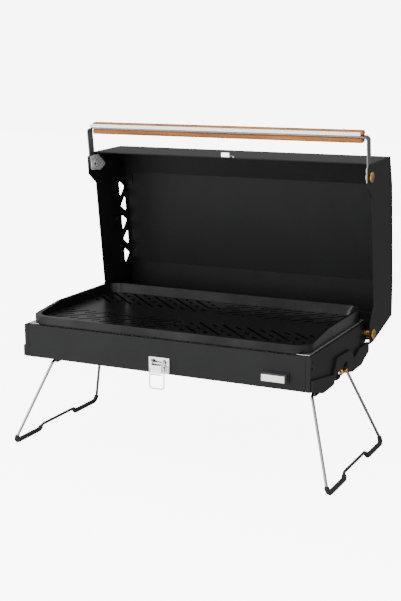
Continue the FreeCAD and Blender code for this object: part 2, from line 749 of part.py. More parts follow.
def handle_strap_part():
    """One strap: two arms and the bar they carry, bent in a long U."""
    forward, up = handle_pivot
    reach = forward + handle_reach
    outer = [(lid_at(-strap_x - handle_strap, forward - 6, up), 0),
             (lid_at(-strap_x - handle_strap, reach, up), 7),
             (lid_at(strap_x + handle_strap, reach, up), 7),
             (lid_at(strap_x + handle_strap, forward - 6, up), 0)]
    inner = [(lid_at(strap_x, forward - 6, up), 0), (lid_at(strap_x, reach - handle_strap, up), 5.2),
             (lid_at(-strap_x, reach - handle_strap, up), 5.2), (lid_at(-strap_x, forward - 6, up), 0)]
    low, high = arm_spread
    shape = plate([(p + V(0, 0, low), r) for p, r in outer + inner], Z_AXIS * (high - low))
    shape = shape.cut(box(lid_at(-grip_half, reach + 1, up + low - 1),
                          lid_at(grip_half, reach - handle_strap - 1, up - bar_width / 2)))
    bore = rod(pivot_r + run_gap, lid_at(-half - 20, forward, up), lid_at(half + 20, forward, up))
    return opened(shape.cut(bore).cut(grip_rivet_bars()))


def grip_rivet_bars():
    reach = handle_pivot[0] + handle_reach
    up = handle_pivot[1]
    return group([rod(2.5, lid_at(x, reach - 11.6, up), lid_at(x, reach + 9.2, up)) for x in (-205, 0, 205)])


def grip_bar(low_forward, high_forward, low_up, high_up, radius):
    """A wooden grip strip along the bar with rounded ends and edges."""
    reach = handle_pivot[0] + handle_reach
    centre_up = handle_pivot[1]
    body = box(lid_at(-grip_half, reach + high_forward, centre_up + low_up),
               lid_at(grip_half, reach + low_forward, centre_up + high_up))
    body = body.makeFillet(radius, body.Edges)
    return opened(body.cut(grip_rivet_bars()))


def grip_trim():
    reach = handle_pivot[0] + handle_reach
    up = handle_pivot[1]
    body = box(lid_at(-grip_half - 4, reach + 6.0, up - 6.6), lid_at(grip_half - 4, reach + 0.6, up - 5.4))
    return opened(body)


def build():
    save(front_panel(), "front_panel")
    for side, shape in (("right", end_wall()), ("left", mirrored(end_wall()))):
        save(shape, side + "_end_wall")
    for side, shape in (("right", end_guard()), ("left", mirrored(end_guard()))):
        save(shape, side + "_end_guard")
    save(rear_wall(), "rear_wall")
    save(base_pan(), "base_pan")
    save(hinge_bracket(), "right_hinge_bracket")
    save(mirrored(hinge_bracket()), "left_hinge_bracket")
    save(drip_tray(), "drip_tray")
    save(burner_tube(), "burner_tube")
    save(venturi(), "venturi")
    save(gas_jet(), "gas_jet")
    save(jet_elbow(), "jet_elbow")
    save(gas_pipe(), "gas_pipe")
    save(gas_inlet(), "gas_inlet")
    save(inlet_nut(), "inlet_nut")
    save(burner_bracket(-80), "left_burner_bracket")
    save(burner_bracket(80), "right_burner_bracket")
    save(burner_screws(), "burner_screws")
    save(electrode(), "electrode_ceramic")
    save(electrode_tip(), "electrode_tip")
    save(electrode_clip(), "electrode_clip")
    save(igniter_bezel(), "igniter_bezel")
    save(igniter_button(), "igniter_button")
    save(piezo_unit(), "piezo_unit")
    save(latch_plate(), "latch_plate")
    save(latch_rivets(), "latch_rivets")
    save(latch_pin_rod(), "latch_pin")
    save(latch_lever(), "latch_lever")
    save(latch_bail(), "latch_bail")
    save(leg_wire(), "right_leg_wire")
    save(mirrored(leg_wire()), "left_leg_wire")
    save(leg_sleeves(), "right_leg_sleeves")
    save(mirrored(leg_sleeves()), "left_leg_sleeves")
    save(leg_hangers(), "right_leg_hangers")
    save(mirrored(leg_hangers()), "left_leg_hangers")
    save(grate_plate(), "cooking_grate")
    save(lid_shell(), "lid_shell")
    save(opened(side_panel(side_groove())), "lid_right_side")
    save(opened(mirrored(side_panel(side_vents()))), "lid_left_side")
    save(lid_rivets(), "lid_rivets")
    save(inner_studs(), "rack_studs")
    save(opened(lid_keeper()), "lid_keeper")
    save(opened(keeper_rivets()), "keeper_rivets")
    save(both(hinge_bolt()), "hinge_bolts")
    save(both(hinge_spacer()), "hinge_spacers")
    save(both(hinge_nut()), "hinge_nuts")
    save(opened(both(handle_bolt())), "handle_bolts")
    save(opened(both(handle_nut())), "handle_nuts")
    save(opened(both(ear_plate())), "ear_plates")
    save(handle_strap_part(), "handle_strap")
    save(grip_bar(0.2, 8.2, -4.8, 6.5, 2.2), "upper_grip")
    save(grip_bar(-11.0, -handle_strap - 0.2, -6.5, 6.5, 3.2), "lower_grip")
    save(grip_trim(), "grip_trim")
    save(opened(grip_rivet_bars()), "grip_rivets")


build()
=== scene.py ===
"""Looks of the folding camp grill: finishes, rounded sheet edges, bent wire, turned brass and rivets.

Lengths are metres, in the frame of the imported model: +Z up, ground at Z = 0, +Y to the back.
"""

import json
import math

import bmesh
import bpy
from mathutils import Matrix, Vector

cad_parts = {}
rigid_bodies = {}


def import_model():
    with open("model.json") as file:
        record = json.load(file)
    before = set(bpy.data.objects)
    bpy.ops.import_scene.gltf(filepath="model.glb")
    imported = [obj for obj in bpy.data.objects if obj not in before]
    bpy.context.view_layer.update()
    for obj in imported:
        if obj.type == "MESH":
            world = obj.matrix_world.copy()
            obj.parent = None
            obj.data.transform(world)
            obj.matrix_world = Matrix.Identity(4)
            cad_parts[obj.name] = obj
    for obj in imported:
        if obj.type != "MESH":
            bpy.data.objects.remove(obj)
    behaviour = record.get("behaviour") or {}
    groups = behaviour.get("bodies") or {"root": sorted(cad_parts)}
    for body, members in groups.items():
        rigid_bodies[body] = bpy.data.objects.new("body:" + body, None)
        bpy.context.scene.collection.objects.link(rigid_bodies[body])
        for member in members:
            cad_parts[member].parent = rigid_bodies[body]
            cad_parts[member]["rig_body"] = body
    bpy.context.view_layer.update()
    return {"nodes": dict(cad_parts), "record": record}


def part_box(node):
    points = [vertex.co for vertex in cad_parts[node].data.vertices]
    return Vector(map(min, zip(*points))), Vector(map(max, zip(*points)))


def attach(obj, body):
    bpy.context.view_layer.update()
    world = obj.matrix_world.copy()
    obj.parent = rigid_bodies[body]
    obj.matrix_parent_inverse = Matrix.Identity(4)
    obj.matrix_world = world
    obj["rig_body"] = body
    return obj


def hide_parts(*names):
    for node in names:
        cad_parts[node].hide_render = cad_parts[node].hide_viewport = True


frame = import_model()

MM = 0.001
NODES = frame["nodes"]
SLOTS = {part["node"]: part["material_slot"] for part in frame["record"]["subparts"]}
SIDES = (("right", 1), ("left", -1))
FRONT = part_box("front_panel")[0].y
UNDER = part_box("front_panel")[0].z
LID_TILT = math.radians(82.4)          # how far the lid stands open


def at(x, back, up):
    """Millimetres from the middle, behind the front face and above the base's underside."""
    return Vector((x * MM, FRONT + back * MM, UNDER + up * MM))


# ---- stage ----
ROOM_FRONT = 1.6
ROOM_BACK = 0.42
FRONT_GLOW = 0.9
BACKDROP_GLOW = 7.5


def seen_brighter(tree, socket, lighting, glow):
    """Drive a stage strength: lighting for the object, glow where the backdrop itself is looked at."""
    path = tree.nodes.new("ShaderNodeLightPath")
    span = tree.nodes.new("ShaderNodeMapRange")
    if isinstance(lighting, bpy.types.NodeSocket):
        tree.links.new(lighting, span.inputs["To Min"])
    else:
        span.inputs["To Min"].default_value = lighting
    span.inputs["To Max"].default_value = glow
    tree.links.new(path.outputs["Is Camera Ray"], span.inputs["Value"])
    tree.links.new(span.outputs[0], socket)


def shaded_off(tree, coordinate, letter, near, far):
    """A strength that runs from near[1] to far[1] as the coordinate goes from near[0] to far[0]."""
    place = tree.nodes.new("ShaderNodeTexCoord")
    split = tree.nodes.new("ShaderNodeSeparateXYZ")
    span = tree.nodes.new("ShaderNodeMapRange")
    tree.links.new(place.outputs[coordinate], split.inputs[0])
    tree.links.new(split.outputs[letter], span.inputs["Value"])
    for end, (position, strength) in (("Min", near), ("Max", far)):
        span.inputs["From " + end].default_value = position
        span.inputs["To " + end].default_value = strength
    return span.outputs[0]


def make_stage():
    """Pale seamless floor, a room that is brighter in front, and three soft panels."""
    world = bpy.data.worlds.new("studio")
    world.use_nodes = True
    room = shaded_off(world.node_tree, "Generated", "Y", (-1.0, ROOM_FRONT), (1.0, ROOM_BACK))
    background = world.node_tree.nodes["Background"]
    background.inputs["Color"].default_value = (1.0, 1.0, 1.0, 1.0)
    seen_brighter(world.node_tree, background.inputs["Strength"], room, BACKDROP_GLOW)
    bpy.context.scene.world = world

    half = 6.0
    drop = -0.0004
    mesh = bpy.data.meshes.new("floor")
    corners = [(-half, -half, drop), (half, -half, drop), (half, half, drop), (-half, half, drop)]
    mesh.from_pydata(corners, [], [(0, 1, 2, 3)])
    floor = bpy.data.objects.new("floor", mesh)
    bpy.context.scene.collection.objects.link(floor)
    paper = Finish("studio paper", {"Base Color": (0.9, 0.9, 0.9, 1), "Roughness": 0.9})
    paper.shader.inputs["Emission Color"].default_value = (1.0, 1.0, 1.0, 1.0)
    front = shaded_off(paper.tree, "Object", "Y", (-0.9, FRONT_GLOW), (0.1, 0.0))
    seen_brighter(paper.tree, paper.shader.inputs["Emission Strength"], front, BACKDROP_GLOW)
    mesh.materials.append(paper.material)
    fade = shaded_off(paper.tree, "Object", "Y", (-0.8, 0.9), (0.3, 0.22))
    paper.tree.links.new(fade, paper.shader.inputs["Base Color"])

    target = Vector((0.0, 0.02, 0.22))
    for name, place, width, height, watts in (
            ("overhead panel", (-0.3, -0.2, 2.3), 2.2, 1.6, 46.0),
            ("left panel", (-2.0, -0.9, 1.1), 1.2, 1.6, 34.0),
            ("front low panel", (-0.9, -2.2, 0.5), 1.8, 0.9, 22.0)):
        lamp = bpy.data.lights.new(name, "AREA")
        lamp.shape = "RECTANGLE"
        lamp.size = width
        lamp.size_y = height
        lamp.energy = watts
        holder = bpy.data.objects.new(name, lamp)
        holder.location = place
        holder.rotation_euler = (target - Vector(place)).to_track_quat("-Z", "Y").to_euler()
        bpy.context.scene.collection.objects.link(holder)


def make_camera():
    """A long lens a little above the grill, from its front right."""
    lens = bpy.data.cameras.new("view")
    lens.lens = 70.3
    lens.sensor_width = 36.0
    camera = bpy.data.objects.new("view", lens)
    camera.location = (0.7924, -1.6818, 0.6292)
    camera.rotation_euler = (math.radians(77.9), 0.0, math.radians(25.7))
    bpy.context.scene.collection.objects.link(camera)
    bpy.context.scene.camera = camera


# ---- shader maths ----
class Value:
    """A number inside a finish. Arithmetic on it adds the Math nodes."""

    def __init__(self, finish, socket):
        self.finish = finish
        self.socket = socket

    def maths(self, operation, first, second):
        return self.finish.node("Math", {"operation": operation}, {0: first, 1: second})

    def __add__(self, other):
        return self.maths("ADD", self, other)

    def __sub__(self, other):
        return self.maths("SUBTRACT", self, other)

    def __rsub__(self, other):
        return self.maths("SUBTRACT", other, self)

    def __mul__(self, other):
        return self.maths("MULTIPLY", self, other)

    __radd__ = __add__
    __rmul__ = __mul__


class Finish:
    """A procedural finish: its shader, and one method that adds any other node."""

    def __init__(self, name, constants):
        self.material = bpy.data.materials.new(name)
        self.material.use_nodes = True
        self.tree = self.material.node_tree
        self.shader = self.tree.nodes["Principled BSDF"]
        self.place = self.node("TexCoord", out="Object")
        for label, value in constants.items():
            self.shader.inputs[label].default_value = value

    def node(self, kind, settings=None, inputs=None, out=0):
        made = self.tree.nodes.new("ShaderNode" + kind)
        for key, value in (settings or {}).items():
            setattr(made, key, value)
        for key, value in (inputs or {}).items():
            self.feed(made.inputs[key], value)
        return Value(self, made.outputs[out])

    def feed(self, socket, value):
        if isinstance(value, Value):
            self.tree.links.new(value.socket, socket)
        else:
            socket.default_value = value

    def noise(self, scale, detail=2.0, stretch=(1, 1, 1)):
        """Noise of about that many blotches to the metre, each axis multiplied by stretch."""
        placed = self.node("Mapping", {}, {"Vector": self.place, "Scale": stretch})
        return self.node("TexNoise", {}, {"Vector": placed, "Scale": scale, "Detail": detail})

    def ramp(self, value, low, high, to_low=0.0, to_high=1.0):
        """A value from low to high, smoothly mapped to to_low to to_high."""
        return self.node("MapRange", {"interpolation_type": "SMOOTHSTEP"}, {
            "Value": value, "From Min": low, "From Max": high, "To Min": to_low, "To Max": to_high})

    def tint(self, factor, first, second):
        """A colour between two colours."""
        first, second = [c if isinstance(c, Value) else (*c, 1.0) for c in (first, second)]
        return self.node("Mix", {"data_type": "RGBA"}, {0: factor, 6: first, 7: second}, out=2)

    def axis(self, letter):
        split = self.tree.nodes.new("ShaderNodeSeparateXYZ")
        self.tree.links.new(self.place.socket, split.inputs[0])
        return Value(self, split.outputs[letter])

    def relief(self, height, distance, strength=1.0):
        """Raise the surface by height times distance."""
        bump = self.node("Bump", {}, {"Height": height, "Distance": distance, "Strength": strength})
        self.feed(self.shader.inputs["Normal"], bump)

    def paint(self, **varying):
        """Feed the shader's varying inputs, written as base_color, roughness and so on."""
        for label, value in varying.items():
            self.feed(self.shader.inputs[label.replace("_", " ").title()], value)


# ---- finishes ----
def powder_coat():
    """Fine-textured black powder coat, a little uneven in gloss."""
    coat = Finish("black powder coat", {"Specular IOR Level": 0.16})
    grain = coat.noise(1500, 2.0)
    clouds = coat.noise(11, 3.0)
    black = coat.tint(coat.ramp(clouds, 0.3, 0.7), (0.0052, 0.0053, 0.0058), (0.0074, 0.0075, 0.0080))
    coat.paint(base_color=black,
               roughness=0.40 + 0.12 * clouds + 0.08 * grain)
    coat.relief(grain, 0.00012, 0.55)
    return coat.material


def non_stick():
    """Smooth dark non-stick coating with a low satin gloss and light scuffs."""
    coat = Finish("non-stick coating", {"Specular IOR Level": 0.13, "Coat Roughness": 0.14})
    fine = coat.noise(900, 2.0)
    clouds = coat.noise(16, 4.0)
    scuffs = coat.ramp(coat.noise(60, 5.0, (1, 7, 1)), 0.58, 0.72)
    coat.paint(base_color=coat.tint(scuffs * 0.5, (0.0020, 0.0020, 0.0022), (0.0050, 0.0050, 0.0052)),
               roughness=0.26 + 0.10 * clouds + 0.10 * scuffs,
               coat_weight=0.10 + 0.20 * coat.ramp(clouds, 0.35, 0.7))
    coat.relief(fine, 0.00006, 0.35)
    return coat.material


def edge_painted_highlight():
    """The same coating along the grate's edges: smoother and glossier, with a lighter grey painted highlight.
    """
    edge = Finish("coating with painted edge highlight", {"Specular IOR Level": 0.5})
    edge_mottle = edge.noise(210, 4.0)
    # painted highlight: the edges are coloured a lighter grey than the coating
    edge.paint(base_color=edge.tint(edge.ramp(edge_mottle, 0.35, 0.65), (0.030, 0.030, 0.031), (0.11, 0.11, 0.11)),
               roughness=0.18 + 0.16 * edge_mottle)
    edge.relief(edge_mottle, 0.00005, 0.3)
    return edge.material


def brushed_sheet():
    """Stainless sheet brushed along X."""
    return brushed("brushed stainless", None)


def bright_trim():
    """Pale satin trim along the grip, its lines lengthwise."""
    trim = Finish("satin trim", {"Metallic": 0.25})
    lines = trim.noise(1400, 2.0, (0.02, 1, 1))
    trim.paint(base_color=trim.tint(lines, (0.80, 0.84, 0.86), (0.95, 0.97, 0.97)),
               roughness=0.22 + 0.12 * lines)
    trim.relief(lines, 0.00004, 0.4)
    return trim.material


def tray_sheet_painted_shade():
    """The same sheet in the tray: bright on its flange, with painted shade in dark brown below it."""
    return brushed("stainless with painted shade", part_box("drip_tray")[1].z - 1.6 * MM)


def brushed(name, shade_top):
    sheet = Finish(name, {"Metallic": 1.0})
    lines = sheet.noise(2600, 2.0, (0.02, 1, 1))
    smears = sheet.noise(14, 4.0)
    steel = sheet.tint(lines, (0.60, 0.60, 0.59), (0.80, 0.80, 0.78))
    rough = 0.20 + 0.14 * lines + 0.10 * smears
    if shade_top is not None:
        # painted shade: below the flange the tray is darkened where the grate shades it
        painted_shade = sheet.ramp(sheet.axis("Z"), shade_top, shade_top - 0.8 * MM)
        painted_shade_tone = sheet.tint(sheet.ramp(smears, 0.35, 0.65), (0.020, 0.017, 0.014), (0.060, 0.045, 0.032))
        steel = sheet.tint(painted_shade, steel, painted_shade_tone)
        rough = rough + 0.3 * painted_shade
    sheet.paint(base_color=steel, roughness=rough)
    sheet.relief(lines, 0.00004, 0.5)
    return sheet.material


def bright_plate():
    """Bright nickel plating with faint ripples and handling marks, and painted shade that darkens its crevices.
    """
    plate = Finish("bright nickel", {"Metallic": 1.0})
    marks = plate.noise(120, 4.0)
    ripple = plate.noise(330, 1.0)
    # painted shade: ambient occlusion darkens the plating in crevices and between parts
    ao_painted_shade = plate.node("AmbientOcclusion", {"samples": 6}, {"Distance": 5.0 * MM}, out=1)
    clean = plate.tint(marks, (0.80, 0.80, 0.81), (0.92, 0.92, 0.91))
    # the near-black colour is the painted shade in the crevices
    plate.paint(base_color=plate.tint(plate.ramp(ao_painted_shade, 0.35, 0.8), (0.035, 0.035, 0.037), clean),
                roughness=0.10 + 0.14 * marks)
    plate.relief(ripple, 0.00010, 0.3)
    return plate.material


def zinc_plate():
    """Dull zinc plating, mottled."""
    zinc = Finish("zinc plate", {"Metallic": 0.35})
    spangle = zinc.noise(420, 4.0)
    zinc.paint(base_color=zinc.tint(zinc.ramp(spangle, 0.35, 0.65), (0.26, 0.27, 0.27), (0.86, 0.86, 0.84)),
               roughness=0.30 + 0.2 * spangle)
    zinc.relief(spangle, 0.00014, 0.7)
    return zinc.material


def satin_strap():
    """Dark satin steel strap with lengthwise rolling lines."""
    strap = Finish("satin strap steel", {"Metallic": 1.0})
    lines = strap.noise(1300, 2.0, (0.03, 1, 0.05))
    cloud = strap.noise(24, 3.0)
    strap.paint(base_color=strap.tint(lines, (0.12, 0.124, 0.132), (0.20, 0.205, 0.213)),
                roughness=0.34 + 0.14 * cloud)
    strap.relief(lines, 0.00005, 0.5)
    return strap.material


def turned_brass():
    """Turned brass, slightly darkened in patches."""
    brass = Finish("turned brass", {"Metallic": 1.0})
    tarnish = brass.ramp(brass.noise(170, 4.0), 0.42, 0.68)
    lines = brass.noise(1500, 2.0, (1, 0.25, 0.25))
    brass.paint(base_color=brass.tint(tarnish, (0.66, 0.38, 0.10), (0.34, 0.17, 0.045)),
                roughness=0.18 + 0.20 * tarnish + 0.06 * lines)
    brass.relief(lines, 0.00004, 0.5)
    return brass.material


def oiled_wood():
    """Warm oiled hardwood: long bands of colour, fine streaks and short dark pores along X."""
    wood = Finish("oiled hardwood", {"Specular IOR Level": 0.25, "Coat Roughness": 0.3})
    bands = wood.noise(150, 3.0, (0.045, 1, 1))
    streaks = wood.noise(620, 3.0, (0.03, 1, 1))
    pores = wood.ramp(wood.noise(1500, 1.0, (0.045, 1, 1)), 0.62, 0.72)
    blond = wood.tint(wood.ramp(bands, 0.32, 0.68), (0.37, 0.120, 0.010), (0.20, 0.056, 0.005))
    streaked = wood.tint(wood.ramp(streaks, 0.42, 0.72) * 0.55, blond, (0.12, 0.034, 0.006))
    wood.paint(base_color=wood.tint(pores * 0.75, streaked, (0.075, 0.022, 0.008)),
               roughness=0.42 + 0.16 * streaks + 0.1 * pores,
               coat_weight=0.05 + 0.05 * bands)
    wood.relief(streaks - 1.4 * pores, 0.00011, 0.6)
    return wood.material


def dipped_rubber():
    """Matt black rubber sleeves."""
    rubber = Finish("black rubber", {"Specular IOR Level": 0.35})
    grain = rubber.noise(900, 3.0)
    rubber.paint(base_color=rubber.tint(grain, (0.006, 0.006, 0.006), (0.013, 0.013, 0.013)),
                 roughness=0.55 + 0.2 * grain)
    rubber.relief(grain, 0.0001, 0.5)
    return rubber.material


def leg_steel():
    """Bright wire, black-dipped along the foot bar."""
    dip_top = 0.0155
    wire = Finish("leg wire", {})
    marks = wire.noise(240, 3.0, (1, 1, 0.2))
    bright = wire.ramp(wire.axis("Z"), dip_top - 0.0006, dip_top + 0.0006)
    steel = wire.tint(marks, (0.20, 0.20, 0.21), (0.30, 0.30, 0.31))
    wire.paint(base_color=wire.tint(bright, (0.009, 0.009, 0.009), steel),
               metallic=bright,
               roughness=0.45 - bright * 0.30 + 0.12 * marks)
    wire.relief(marks, 0.00008, 0.3)
    return wire.material


def glazed_ceramic():
    ceramic = Finish("glazed ceramic", {"Coat Roughness": 0.1})
    specks = ceramic.ramp(ceramic.noise(700, 3.0), 0.6, 0.75)
    ceramic.paint(base_color=ceramic.tint(specks * 0.4, (0.80, 0.78, 0.72), (0.55, 0.50, 0.43)),
                  roughness=0.22 + 0.2 * specks,
                  coat_weight=0.5 - 0.2 * specks)
    ceramic.relief(specks, -0.00005, 0.5)
    return ceramic.material


def moulded_plastic():
    plastic = Finish("moulded plastic", {"Specular IOR Level": 0.45})
    spark = plastic.noise(1900, 2.0)
    plastic.paint(base_color=plastic.tint(spark, (0.012, 0.012, 0.013), (0.020, 0.020, 0.021)),
                  roughness=0.46 + 0.15 * spark)
    plastic.relief(spark, 0.00008, 0.5)
    return plastic.material


def pipe_aluminium():
    pipe = Finish("pipe aluminium", {"Metallic": 1.0})
    draw = pipe.noise(700, 3.0, (1, 0.1, 1))
    pipe.paint(base_color=pipe.tint(draw, (0.60, 0.60, 0.61), (0.74, 0.74, 0.74)),
               roughness=0.26 + 0.16 * draw)
    pipe.relief(draw, 0.00005, 0.4)
    return pipe.material


# ---- helpers for pieces ----
def finished(piece, node, material):
    """A finished piece takes its CAD node's place, on the same body, in the material given."""
    piece.data.materials.clear()
    piece.data.materials.append(material)
    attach(piece, NODES[node]["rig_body"])
    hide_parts(node)
    return piece


def merged_copy(node):
    """The node's mesh with its loose triangles joined and its flat faces made whole."""
    shape = bmesh.new()
    shape.from_mesh(NODES[node].data)
    bmesh.ops.remove_doubles(shape, verts=shape.verts, dist=0.002 * MM)
    bmesh.ops.dissolve_limit(shape, angle_limit=math.radians(1.0), verts=shape.verts, edges=shape.edges)
    return shape


def new_piece(name, shape):
    mesh = bpy.data.meshes.new(name)
    shape.to_mesh(mesh)
    shape.free()
    piece = bpy.data.objects.new(name, mesh)
    bpy.context.scene.collection.objects.link(piece)
    return piece


def softened(node, width, material, segments=2, corner=38.0, edge=None):
    """A copy of a pressed or cast piece whose sharp edges are rounded by width, in their own finish."""
    piece = finished(new_piece(node + "_body", merged_copy(node)), node, material)
    piece.data.shade_smooth()
    bevel = piece.modifiers.new("rounded edges", "BEVEL")
    bevel.limit_method = "ANGLE"
    bevel.angle_limit = math.radians(corner)
    bevel.width = width
    bevel.segments = segments
    bevel.use_clamp_overlap = True
    # the rounded edges may take a second finish: on the grate it is a painted highlight
    if edge is not None:
        piece.data.materials.append(edge)
        bevel.material = 1
    evened = piece.modifiers.new("flat faces kept flat", "WEIGHTED_NORMAL")
    evened.weight = 100
    evened.keep_sharp = True


def islands(node):
    """Lowest and highest corner of each separate solid of a node."""
    shape = bmesh.new()
    shape.from_mesh(NODES[node].data)
    bmesh.ops.remove_doubles(shape, verts=shape.verts, dist=0.002 * MM)
    waiting = set(shape.verts)
    found = []
    while waiting:
        edge = [waiting.pop()]
        points = []
        while edge:
            vert = edge.pop()
            points.append(vert.co.copy())
            for link in vert.link_edges:
                other = link.other_vert(vert)
                if other in waiting:
                    waiting.discard(other)
                    edge.append(other)
        low = Vector([min(p[i] for p in points) for i in range(3)])
        high = Vector([max(p[i] for p in points) for i in range(3)])
        found.append((low, high))
    shape.free()
    return sorted(found, key=lambda box: tuple(box[0]))


# ---- repeated and bent pieces ----
class Recipe:
    """A geometry node tree with named inputs, run once on a piece and then made a plain mesh."""

    def __init__(self, name, inputs):
        self.tree = bpy.data.node_groups.new(name, "GeometryNodeTree")
        face = self.tree.interface
        face.new_socket("Geometry", in_out="INPUT", socket_type="NodeSocketGeometry")
        face.new_socket("Geometry", in_out="OUTPUT", socket_type="NodeSocketGeometry")
        self.keys = {}
        for label, kind in inputs.items():
            socket = face.new_socket(label, in_out="INPUT", socket_type="NodeSocket" + kind)
            self.keys[label] = socket.identifier
        self.start = self.tree.nodes.new("NodeGroupInput")

    def given(self, label):
        return self.start.outputs[label]

    def add(self, kind, settings=None, inputs=None, out=0):
        made = self.tree.nodes.new(kind)
        for key, value in (settings or {}).items():
            setattr(made, key, value)
        for key, value in (inputs or {}).items():
            if isinstance(value, bpy.types.NodeSocket):
                self.tree.links.new(value, made.inputs[key])
            else:
                made.inputs[key].default_value = value
        return made.outputs[out] if len(made.outputs) else None

    def stored(self, label, data_type):
        return self.add("GeometryNodeInputNamedAttribute", {"data_type": data_type}, {"Name": label})

    def close(self, shape):
        """End the tree: real geometry, smooth, in the finish that is given."""
        real = self.add("GeometryNodeRealizeInstances", {}, {"Geometry": shape})
        smooth = self.add("GeometryNodeSetShadeSmooth", {}, {"Geometry": real})
        done = self.add("GeometryNodeSetMaterial", {}, {
            "Geometry": smooth, "Material": self.given("Finish")})
        self.add("NodeGroupOutput", {}, {"Geometry": done})

    def run(self, name, points, edges, values, attributes):
        """The plain mesh that the tree makes from points, edges and per-point attributes."""
        mesh = bpy.data.meshes.new(name)
        mesh.from_pydata(points, edges, [])
        for label, (kind, data) in attributes.items():
            layer = mesh.attributes.new(label, kind, "POINT")
            field = "vector" if kind == "FLOAT_VECTOR" else "value"
            layer.data.foreach_set(field, data)
        piece = bpy.data.objects.new(name, mesh)
        bpy.context.scene.collection.objects.link(piece)
        modifier = piece.modifiers.new(name, "NODES")
        modifier.node_group = self.tree
        for label, value in values.items():
            modifier[self.keys[label]] = value
        depsgraph = bpy.context.evaluated_depsgraph_get()
        result = bpy.data.meshes.new_from_object(piece.evaluated_get(depsgraph))
        piece.modifiers.remove(modifier)
        piece.data = result
        result.name = name
        return piece


def head_recipe():
    """A domed head with a narrow collar on every point, turned to face along the point's facing."""
    recipe = Recipe("domed heads", {
        "Radius": "Float", "Rise": "Float", "Collar": "Float", "Finish": "Material"})
    unit = recipe.add("GeometryNodeMeshUVSphere", {}, {"Segments": 32, "Rings": 16, "Radius": 1.0})
    size = recipe.add("ShaderNodeCombineXYZ", {}, {
        "X": recipe.given("Radius"), "Y": recipe.given("Radius"), "Z": recipe.given("Rise")})
    dome = recipe.add("GeometryNodeTransform", {}, {"Geometry": unit, "Scale": size})
    wide = recipe.add("ShaderNodeMath", {"operation": "MULTIPLY"}, {0: recipe.given("Radius"), 1: 1.08})
    collar = recipe.add("GeometryNodeMeshCylinder", {}, {
        "Vertices": 32, "Radius": wide, "Depth": recipe.given("Collar")})
    head = recipe.add("GeometryNodeJoinGeometry")
    recipe.tree.links.new(dome, head.node.inputs[0])
    recipe.tree.links.new(collar, head.node.inputs[0])
    turned = recipe.add("FunctionNodeAlignRotationToVector", {"axis": "Z"}, {
        "Vector": recipe.stored("facing", "FLOAT_VECTOR")})
    placed = recipe.add("GeometryNodeInstanceOnPoints", {}, {
        "Points": recipe.given("Geometry"), "Instance": head, "Rotation": turned})
    recipe.close(placed)
    return recipe


BAR_STEP = 1.2             # between a bar's rings
EASE_FROM = 0.488          # part of the length, from its middle, where the end starts to ease


def bar_recipe():
    """A round bar along the piece's edges, bent at each point to its own radius, with eased ends."""
    recipe = Recipe("bent bar", {"Radius": "Float", "End Size": "Float", "Finish": "Material"})
    line = recipe.add("GeometryNodeMeshToCurve", {}, {"Mesh": recipe.given("Geometry")})
    bent = recipe.add("GeometryNodeFilletCurve", {"mode": "POLY"}, {
        "Curve": line, "Count": 10, "Radius": recipe.stored("bend", "FLOAT"), "Limit Radius": True})
    even = recipe.add("GeometryNodeResampleCurve", {"mode": "LENGTH"}, {"Curve": bent, "Length": BAR_STEP * MM})
    place = recipe.add("GeometryNodeSplineParameter", {}, {}, out=0)
    centred = recipe.add("ShaderNodeMath", {"operation": "SUBTRACT"}, {0: place, 1: 0.5})
    away = recipe.add("ShaderNodeMath", {"operation": "ABSOLUTE"}, {0: centred})
    eased = recipe.add("ShaderNodeMapRange", {"interpolation_type": "SMOOTHSTEP"}, {
        "Value": away, "From Min": EASE_FROM, "From Max": 0.5,
        "To Min": 1.0, "To Max": recipe.given("End Size")})
    sized = recipe.add("GeometryNodeSetCurveRadius", {}, {"Curve": even, "Radius": eased})
    ring = recipe.add("GeometryNodeCurvePrimitiveCircle", {}, {
        "Resolution": 20, "Radius": recipe.given("Radius")})
    scale = recipe.add("GeometryNodeInputRadius")
    bar = recipe.add("GeometryNodeCurveToMesh", {}, {
        "Curve": sized, "Profile Curve": ring, "Scale": scale, "Fill Caps": True})
    recipe.close(bar)
    return recipe


def domed_heads(recipe, node, material, size, facing, collar=0.3):
    """Heads of one size, (radius, rise), in place of a node's solids, facing out of their sheet."""
    radius, rise = size
    out = Vector(facing).normalized()
    centres, facings = [], []
    for low, high in islands(node):
        middle = (low + high) / 2
        reach = sum(abs(out[i]) * (high - low)[i] for i in range(3)) / 2
        centres.append(middle - out * min(reach, rise * MM / 2))
        facings.extend(out)
    piece = recipe.run(node + "_heads", centres, [], {
        "Radius": radius * MM, "Rise": rise * MM, "Collar": collar * MM, "Finish": material},
        {"facing": ("FLOAT_VECTOR", facings)})
    return finished(piece, node, material)


def bent_bar(recipe, node, runs, radius, material, end_size=1.0):
    """A node's bar or bars, each run a list of (point, bend radius in mm)."""
    points = []
    edges = []
    bends = []
    for run in runs:
        first = len(points)
        points += [point for point, _ in run]
        bends += [bend * MM for _, bend in run]
        edges += [(first + i, first + i + 1) for i in range(len(run) - 1)]
    piece = recipe.run(node + "_bar", points, edges, {
        "Radius": radius * MM, "End Size": end_size, "Finish": material}, {"bend": ("FLOAT", bends)})
    return finished(piece, node, material)


# ---- legs ----
LEG_TOP = {"x": 223.5, "up": -20.0, "front": 54.0, "back": 209.5}
LEG_FOOT = {"x": 269.0, "up": -149.0, "front": 4.0, "back": 263.0}
LEG_JOG = {"front": 76.0, "back": 189.0, "rise": 8.0, "run": 7.0}
LEG_WIRE = 2.4
SLEEVE = 4.0
SLEEVE_END = 0.72          # a sleeve's eased end, against its full radius


